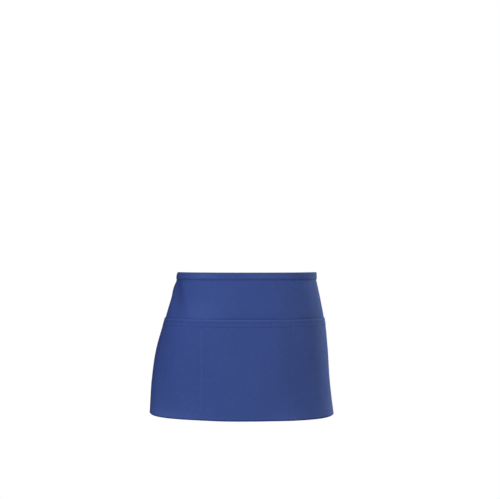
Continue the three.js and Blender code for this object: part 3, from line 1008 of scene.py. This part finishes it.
def make_tie(side):
    """A strip hemmed at its free end, and pressed thinner where it is sewn into the waistband."""
    name = "apron_tie_left" if side < 0 else "apron_tie_right"
    middle, across, face, half, length = tie_frame(side)
    share = np.cos(np.linspace(0, math.pi, TIE_ROWS))
    edge = TIE_EDGE_THIN + (1 - TIE_EDGE_THIN) * np.sqrt(1 - np.abs(share) ** TIE_EDGE_POWER)
    to_end = length[-1] - length
    hemmed = TIE_HEM_LAYERS * smooth((TIE_HEM - to_end) / TIE_HEM_STEP)
    pressed = TIE_PRESSED * smooth((TIE_SEWN_IN - length) / TIE_PRESSED_STEP)
    thick = TIE_CLOTH / 2 * edge[None, :] * ((1 + hemmed - pressed) * edge_round(to_end))[:, None]
    groove = line_at(TIE_GROOVE, np.abs(share))[None, :]
    line = middle[:, None, :] + across[:, None, :] * (half[:, None] * share)[..., None]
    pleat = tie_pleats(middle, half, share)
    front, back = (line + face[:, None, :] * (pleat + sign * (thick - groove))[..., None] for sign in (1, -1))
    uv_across = TIE_WIDTH / 2 * np.concatenate([share, share[::-1]])
    uv = np.stack(np.broadcast_arrays(length[:, None], uv_across[None, :]), -1)
    paleness = np.concatenate([np.abs(share) ** TIE_WEAR_POWER] * 2)[None, :]
    # Painted shade in the tie's stitch grooves
    press_and_shade = np.concatenate([groove, groove], axis=1) / TIE_GROOVE.amount
    return skin_mesh(name, strip_rings(front, back), uv, {"wear_and_highlight": paleness, "painted_shade": press_and_shade})


def make_bow_knot():
    """A soft band wrapped round the gathered ties."""
    layers = KNOT_LAYERS * TIE_LAYER
    depth, height = layers / 2 + KNOT_ROOM_BACK, TIE_GATHERED / 2 + KNOT_ROOM_UP
    turn = np.linspace(0, 2 * math.pi, KNOT_COLUMNS, endpoint=False)[:, None]
    across = np.sin(np.linspace(-math.pi / 2, math.pi / 2, KNOT_ROWS))[None, :]
    back, up = np.abs(np.cos(turn) / depth), np.abs(np.sin(turn) / height)
    reach = (back ** KNOT_SQUARE + up ** KNOT_SQUARE) ** (-1 / KNOT_SQUARE)
    uneven = KNOT_CREASE_EVEN + (1 - KNOT_CREASE_EVEN) * np.cos(2 * turn + KNOT_CREASE_SHIFT)
    crease = KNOT_CREASE * np.cos(across * KNOT_CREASE_TURNS) * uneven
    outside = reach + KNOT_CLOTH + KNOT_SWELL * (1 - across ** 2) + crease
    inside = reach - KNOT_SNUG + 0 * across
    rounding = edge_round((1 - np.abs(across)) * KNOT_LENGTH / 2, KNOT_EDGE)
    middle, half = (outside + inside) / 2, (outside - inside) / 2 * rounding
    x = across * (KNOT_LENGTH / 2 + KNOT_SKEW * np.sin(turn))
    faces = []
    for radius in (middle + half, middle - half):
        y = KNOT[1] + layers / 2 + radius * np.cos(turn)
        z = KNOT[2] + radius * np.sin(turn)
        faces.append(np.stack([x, y, z], -1))
    around = turn * (depth + height) / 2
    share = strip_rings(across, across)
    uv = np.stack(np.broadcast_arrays(around, share * KNOT_LENGTH / 2), -1)
    marks = {"wear_and_highlight": np.abs(share) ** KNOT_WEAR_POWER, "painted_shade": 0 * share}
    return skin_mesh("apron_bow_knot", strip_rings(*faces), uv, marks, endless=True)


# Building nodes


def set_inputs(tree, node, inputs):
    """Sets a node's sockets to values, or links them from other sockets."""
    for name, value in inputs.items():
        if isinstance(value, bpy.types.NodeSocket):
            tree.links.new(value, node.inputs[name])
        else:
            node.inputs[name].default_value = value


def add_node(tree, kind, inputs=None, **settings):
    """A node with its settings and its sockets set; returns its outputs."""
    made = tree.nodes.new(kind)
    for name, value in settings.items():
        setattr(made, name, value)
    set_inputs(tree, made, inputs or {})
    return made.outputs


def arithmetic(tree, operation, first, second):
    """One sum of two numbers, as a socket."""
    return add_node(tree, "ShaderNodeMath", {0: first, 1: second}, operation=operation)[0]


# Stitching

Row = namedtuple("Row", "points facing")


def cloth_row(faces, along, drop, side):
    """A stitch row on the outer (1) or inner (-1) face of a cloth piece."""
    along, drop = np.broadcast_arrays(np.asarray(along, float), np.asarray(drop, float))
    base, outward, downward = cloth_frame(along, drop)
    outer, inner, _ = faces(along, drop)
    out = (outer if side > 0 else inner) + side * THREAD_PROUD
    sag = pocket_sag(drop) if faces is pocket_faces else np.zeros(drop.shape)
    return Row(base + outward * out[:, None] + downward * sag[:, None], outward * side)


def waistband_rows():
    """The row that closes the waistband and the short rows across its ends, on both of its legs."""
    closing = ruled((ROW_INSET - WAISTBAND_END, WAISTBAND_END - ROW_INSET, ROW_STEP))
    across = ruled((ROW_INSET, WAISTBAND_STITCH - BAND_END_STOPS, BAND_END_STEP))
    places = [(closing, np.full(closing.shape, WAISTBAND_STITCH))]
    places += [(np.full(across.shape, end * (WAISTBAND_END - BAND_END_ROW)), across) for end in (-1, 1)]
    rows = []
    for along, drop in places:
        base, outward, _ = cloth_frame(along, drop)
        for side in (1, -1):
            out = side * (waistband_leg(along, drop, side) + CLOTH / 2 + THREAD_PROUD)
            rows.append(Row(base + outward * out[:, None], outward * side))
    return rows


def tie_rows(side):
    """Stitch rows near both edges of a tie, on both of its faces, short of its two ends."""
    middle, across, face, half, _ = tie_frame(side)
    rows = []
    for share in (-TIE_STITCH, TIE_STITCH):
        pleat = tie_pleats(middle, half, np.array([share]))
        line = middle + across * (half * share)[:, None] + face * pleat
        for sign in (1, -1):
            lift = sign * (TIE_CLOTH / 2 - TIE_GROOVE.amount + THREAD_PROUD)
            rows.append(Row((line + face * lift)[TIE_STITCHED], face[TIE_STITCHED] * sign))
    return rows


def pocket_rows():
    """The mouth's two rows, the dividing seams' twin rows and the side seams, as seen from the front."""
    across = ruled((ROW_CLEAR - HALF_WIDTH, HALF_WIDTH - ROW_CLEAR, ROW_STEP))
    down = ruled((POCKET_DROP + DIVIDER_STARTS, SKIRT_LENGTH - ROW_INSET, ROW_STEP))
    rows = [cloth_row(pocket_faces, across, POCKET_DROP + row, 1) for row in MOUTH_STITCHES]
    uprights = DIVIDER_ROWS + [sign * (HALF_WIDTH - SIDE_STITCH) for sign in (-1, 1)]
    return rows + [cloth_row(pocket_faces, along, down, 1) for along in uprights]


def skirt_rows():
    """Side hems down both faces of the skirt, and the dividing seams on its back."""
    down = ruled((WAISTBAND_HEIGHT + ROW_CLEAR, SKIRT_LENGTH - ROW_INSET, ROW_STEP))
    below_mouth = down[down > POCKET_DROP]
    above_mouth = down[down < POCKET_DROP - ROW_CLEAR]
    rows = []
    for sign in (-1, 1):
        side = sign * (HALF_WIDTH - SIDE_STITCH)
        rows.append(cloth_row(skirt_faces, side, above_mouth, 1))
        rows.append(cloth_row(skirt_faces, side, down, -1))
        for gauge in (0, TWIN_NEEDLE):
            rows.append(cloth_row(skirt_faces, sign * (DIVIDER - gauge), below_mouth, -1))
    return rows


def bar_tacks():
    """Short dense tacks down the corners of the pocket mouths, across each dividing seam and side."""
    down = ruled((POCKET_DROP + TACK_STARTS, POCKET_DROP + TACK_LENGTH, TACK_STEP))
    places = DIVIDER_ROWS + [sign * (HALF_WIDTH - SIDE_TACK) for sign in (-1, 1)]
    return [cloth_row(pocket_faces, along, down, 1) for along in places]


def stitch_tree(thread):
    """Geometry nodes that lay stitches along lines, facing out from the cloth below them."""
    tree = bpy.data.node_groups.new("stitch_rows", "GeometryNodeTree")
    tree.interface.new_socket("Lines", in_out="INPUT", socket_type="NodeSocketGeometry")
    for name in STITCH_INPUTS:
        tree.interface.new_socket(name, in_out="INPUT", socket_type="NodeSocketFloat")
    tree.interface.new_socket("Stitches", in_out="OUTPUT", socket_type="NodeSocketGeometry")
    given = add_node(tree, "NodeGroupInput")
    curve = add_node(tree, "GeometryNodeMeshToCurve", {"Mesh": given["Lines"]})["Curve"]
    spacing = {"Curve": curve, "Length": given["Pitch"]}
    spaced = add_node(tree, "GeometryNodeResampleCurve", spacing, mode="LENGTH")["Curve"]
    tangent = add_node(tree, "GeometryNodeInputTangent")["Tangent"]
    facing = add_node(
        tree, "GeometryNodeInputNamedAttribute", {"Name": "facing"}, data_type="FLOAT_VECTOR"
    )["Attribute"]
    along = add_node(tree, "FunctionNodeAlignRotationToVector", {"Vector": tangent}, axis="X")["Rotation"]
    upright = add_node(
        tree,
        "FunctionNodeAlignRotationToVector",
        {"Rotation": along, "Vector": facing},
        axis="Z",
        pivot_axis="X",
    )["Rotation"]
    # Sockets 2 and 3 are the least and greatest number, and output 1 is the number
    limits = {2: -STITCH_SWAY, 3: STITCH_SWAY, "Seed": STITCH_SEED}
    sway = add_node(tree, "FunctionNodeRandomValue", limits, data_type="FLOAT")[1]
    about = add_node(tree, "ShaderNodeCombineXYZ", {"Z": arithmetic(tree, "ADD", given["Turn"], sway)})[0]
    spin = add_node(tree, "FunctionNodeEulerToRotation", {"Euler": about})["Rotation"]
    rotation = add_node(
        tree, "FunctionNodeRotateRotation", {"Rotation": upright, "Rotate By": spin}, rotation_space="LOCAL"
    )["Rotation"]
    bead = add_node(tree, "GeometryNodeMeshUVSphere", {"Segments": 6, "Rings": 4, "Radius": 0.5})["Mesh"]
    size = add_node(
        tree, "ShaderNodeCombineXYZ", {"X": given["Length"], "Y": given["Thread"], "Z": given["Thread"]}
    )[0]
    stitch = add_node(tree, "GeometryNodeTransform", {"Geometry": bead, "Scale": size})["Geometry"]
    placed = add_node(
        tree, "GeometryNodeInstanceOnPoints", {"Points": spaced, "Instance": stitch, "Rotation": rotation}
    )["Instances"]
    solid = add_node(tree, "GeometryNodeRealizeInstances", {"Geometry": placed})["Geometry"]
    soft = add_node(tree, "GeometryNodeSetShadeSmooth", {"Geometry": solid})["Geometry"]
    dressed = add_node(tree, "GeometryNodeSetMaterial", {"Geometry": soft, "Material": thread})["Geometry"]
    add_node(tree, "NodeGroupOutput", {"Stitches": dressed})
    return tree


def make_stitches(name, rows, tree, **sizes):
    """One mesh of stitches along rows."""
    points = np.concatenate([row.points for row in rows])
    facing = np.concatenate([row.facing for row in rows])
    starts = np.cumsum([0] + [len(row.points) for row in rows[:-1]])
    edges = [(a + i, a + i + 1) for a, row in zip(starts.tolist(), rows) for i in range(len(row.points) - 1)]
    lines = bpy.data.meshes.new(name + "_lines")
    lines.from_pydata(points.tolist(), edges, [])
    lines.attributes.new("facing", "FLOAT_VECTOR", "POINT").data.foreach_set("vector", facing.ravel())
    carrier = add_object(name + "_lines", lines)
    rule = carrier.modifiers.new("stitches", "NODES")
    rule.node_group = tree
    for socket in tree.interface.items_tree:
        if socket.name in sizes:
            rule[socket.identifier] = sizes[socket.name]
    depsgraph = bpy.context.evaluated_depsgraph_get()
    mesh = bpy.data.meshes.new_from_object(carrier.evaluated_get(depsgraph), depsgraph=depsgraph)
    mesh.name = name
    bpy.data.objects.remove(carrier)
    bpy.data.meshes.remove(lines)
    return add_object(name, mesh)


# Materials


def mix_colour(tree, factor, first, second):
    """The colour between two others; sockets 6 and 7 and output 2 are the node's colours."""
    return add_node(tree, "ShaderNodeMix", {0: factor, 6: first, 7: second}, data_type="RGBA")[2]


def streaks(tree, weave, streak):
    """Random streaks between 0 and 1."""
    scale = (streak.across, streak.along, 1)
    place = add_node(tree, "ShaderNodeMapping", {"Vector": weave, "Scale": scale})[0]
    grain = add_node(tree, "ShaderNodeTexNoise", {"Vector": place, "Scale": 1, "Detail": 2})[0]
    return add_node(
        tree, "ShaderNodeMapRange", {"Value": grain, "From Min": STREAK_LOW, "From Max": STREAK_HIGH}
    )[0]


def new_material(name):
    """A new material with its node tree and its shader."""
    made = bpy.data.materials.new(name)
    made.use_nodes = True
    return made, made.node_tree, made.node_tree.nodes["Principled BSDF"]


def twill_ribs(tree, weave):
    """The diagonal ribs of the twill, between 0 and 1."""
    scale = 2 * math.pi / (WAVE_NODE_RADIANS * math.sqrt(2) * TWILL_PITCH)
    ribs = {"Vector": weave, "Scale": scale, "Distortion": 0.8}
    return add_node(tree, "ShaderNodeTexWave", ribs, bands_direction="DIAGONAL")["Fac"]


def cloth_material():
    """Royal blue twill, paler on worn edges and painted highlights, and darker with painted shade and painted
    shadows.
    """
    made, tree, shader = new_material("apron_cloth")
    weave = add_node(tree, "ShaderNodeUVMap", uv_map="weave")["UV"]
    ribs = twill_ribs(tree, weave)
    mottle, warp, weft = (streaks(tree, weave, streak) for streak in (MOTTLE, WARP, WEFT))
    grains = ((mottle, MOTTLE.depth), (warp, WARP.depth), (weft, WEFT.depth), (ribs, TWILL_DEPTH))
    tone = 1 - sum(depth for _, depth in grains) / 2
    for grain, depth in grains:
        tone = arithmetic(tree, "ADD", arithmetic(tree, "MULTIPLY", grain, depth), tone)
    blue = add_node(tree, "ShaderNodeVectorMath", {0: CLOTH_BLUE, "Scale": tone}, operation="SCALE")[0]
    paleness = add_node(tree, "ShaderNodeAttribute", attribute_name="wear_and_highlight")["Fac"]
    press_and_shade = add_node(tree, "ShaderNodeAttribute", attribute_name="painted_shade")["Fac"]
    # Paler with wear and painted highlights, most on the twill's ribs
    on_ribs = arithmetic(tree, "MULTIPLY", paleness, arithmetic(tree, "MULTIPLY", ribs, PALE_ON_RIBS))
    worn_and_highlit = mix_colour(tree, on_ribs, blue, CLOTH_WORN_AND_HIGHLIGHT)
    # Painted shade from the stitch grooves, painted shadows under the waistband and behind the pocket mouths,
    # and painted shade along the rolled hem
    pressed = mix_colour(tree, arithmetic(tree, "MULTIPLY", press_and_shade, PAINTED_SHADE_DEPTH), worn_and_highlit, CLOTH_SHADE)
    rumpled = add_node(
        tree, "ShaderNodeTexNoise", {"Vector": weave, "Scale": 26, "Detail": 3, "Distortion": 0.7}
    )[0]
    soft = add_node(tree, "ShaderNodeBump", {"Height": rumpled, "Strength": 0.5, "Distance": 0.003})["Normal"]
    yarns = arithmetic(tree, "MULTIPLY", arithmetic(tree, "ADD", warp, weft), 0.5)
    height = arithmetic(tree, "ADD", ribs, yarns)
    twill = add_node(
        tree, "ShaderNodeBump", {"Height": height, "Strength": 0.6, "Distance": 0.00014, "Normal": soft}
    )["Normal"]
    looks = {"Base Color": pressed, "Roughness": 0.88, "Specular IOR Level": 0.06, "Normal": twill}
    set_inputs(tree, shader, looks)
    return made


def thread_material():
    """Blue sewing thread with a fine twist."""
    made, tree, shader = new_material("apron_thread")
    place = add_node(tree, "ShaderNodeTexCoord")["Object"]
    twist = add_node(tree, "ShaderNodeTexNoise", {"Vector": place, "Scale": 1500, "Detail": 1})[0]
    colour = mix_colour(tree, twist, THREAD_BLUE, THREAD_LIGHT)
    bump = add_node(tree, "ShaderNodeBump", {"Height": twist, "Strength": 0.4, "Distance": 0.0001})["Normal"]
    looks = {"Base Color": colour, "Roughness": 0.6, "Specular IOR Level": 0.35, "Normal": bump}
    set_inputs(tree, shader, looks)
    return made


# The apron's pieces

cloth, thread = cloth_material(), thread_material()
skirt = make_skirt()
pocket_panel = make_pocket_panel()
waistband = make_waistband()
tie_left, tie_right = make_tie(-1), make_tie(1)
bow_knot = make_bow_knot()
for piece, node in (
    (skirt, "skirt_panel"),
    (pocket_panel, "pocket_panel"),
    (waistband, "waistband"),
    (tie_left, "tie_left"),
    (tie_right, "tie_right"),
    (bow_knot, "bow_knot"),
):
    piece.data.materials.append(cloth)
    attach(piece, "root")
    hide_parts(node)

sewing = stitch_tree(thread)
plain = {"Pitch": STITCH_PITCH, "Length": STITCH_LENGTH, "Thread": THREAD, "Turn": 0.0}
tack = {"Pitch": TACK_PITCH, "Length": TACK_WIDTH, "Thread": THREAD, "Turn": math.pi / 2}
for stitches in (
    make_stitches("skirt_stitches", skirt_rows(), sewing, **plain),
    make_stitches("pocket_stitches", pocket_rows(), sewing, **plain),
    make_stitches("pocket_bar_tacks", bar_tacks(), sewing, **tack),
    make_stitches("waistband_stitches", waistband_rows(), sewing, **plain),
    make_stitches("tie_stitches", tie_rows(-1) + tie_rows(1), sewing, **plain),
):
    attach(stitches, "root")

TIE_LENGTH = float(tie_frame(1)[-1][-1])

# Floor, light and camera


def add_floor():
    """A pale floor below the apron that fades out into the white round it."""
    mesh = bpy.data.meshes.new("floor")
    corners = [(-1, -1), (1, -1), (1, 1), (-1, 1)]
    places = [(FLOOR_REACH * x, FLOOR_REACH * y, -FLOOR_DROP) for x, y in corners]
    mesh.from_pydata(places, [], [(0, 1, 2, 3)])
    pale, tree, shader = new_material("pale_floor")
    set_inputs(tree, shader, {"Base Color": FLOOR_PALE, "Roughness": 0.9})
    place = add_node(tree, "ShaderNodeTexCoord")["Object"]
    level = add_node(tree, "ShaderNodeVectorMath", {0: place, 1: (1, 1, 0)}, operation="MULTIPLY")[0]
    far = add_node(tree, "ShaderNodeVectorMath", {0: level}, operation="LENGTH")["Value"]
    fading = {"Value": far, "From Min": FLOOR_FADES, "From Max": FLOOR_GONE}
    fade = add_node(tree, "ShaderNodeMapRange", fading, interpolation_type="SMOOTHSTEP")[0]
    clear = add_node(tree, "ShaderNodeBsdfTransparent")[0]
    blend = add_node(tree, "ShaderNodeMixShader", {0: fade, 1: shader.outputs[0], 2: clear})[0]
    set_inputs(tree, tree.nodes["Material Output"], {"Surface": blend})
    mesh.materials.append(pale)
    add_object("floor", mesh)


def add_light(lamp):
    """A soft square light that faces the apron."""
    data = bpy.data.lights.new(lamp.name, "AREA")
    data.size = lamp.size
    data.energy = lamp.power
    data.color = lamp.tint
    light = add_object(lamp.name, data)
    light.location = lamp.place
    aim = Vector((0, 0, -SKIRT_LENGTH / 2)) - Vector(lamp.place)
    light.rotation_euler = aim.to_track_quat("-Z", "Y").to_euler()


def add_sky():
    """White all round, shining on the apron more softly than it looks, and less from the left."""
    world = bpy.data.worlds.new("studio")
    world.use_nodes = True
    tree = world.node_tree
    shown = tree.nodes["Background"]
    set_inputs(tree, shown, {"Color": SKY_WHITE})
    way = add_node(tree, "ShaderNodeTexCoord")["Generated"]
    across = add_node(tree, "ShaderNodeSeparateXYZ", {0: way})["X"]
    sides = {"Value": across, "From Min": SKY_DIM_FROM, "From Max": SKY_BRIGHT_FROM}
    sides.update({"To Min": SKY_DIM, "To Max": SKY_BRIGHT})
    glow = add_node(tree, "ShaderNodeMapRange", sides, interpolation_type="SMOOTHSTEP")[0]
    shining = add_node(tree, "ShaderNodeBackground", {"Color": SKY_TINT, "Strength": glow})[0]
    seen = add_node(tree, "ShaderNodeLightPath")["Is Camera Ray"]
    sky = add_node(tree, "ShaderNodeMixShader", {0: seen, 1: shining, 2: shown.outputs[0]})[0]
    set_inputs(tree, tree.nodes["World Output"], {"Surface": sky})
    bpy.context.scene.world = world


def add_camera():
    lens = bpy.data.cameras.new("photo_camera")
    lens.sensor_width = CAMERA_SENSOR
    lens.lens = CAMERA_LENS
    camera = add_object("photo_camera", lens)
    camera.location = CAMERA_PLACE
    camera.rotation_euler = (math.pi / 2, 0, 0)
    bpy.context.scene.camera = camera


add_floor()
for lamp in LAMPS:
    add_light(lamp)
add_sky()
add_camera()
bpy.context.scene.view_settings.view_transform = "Standard"
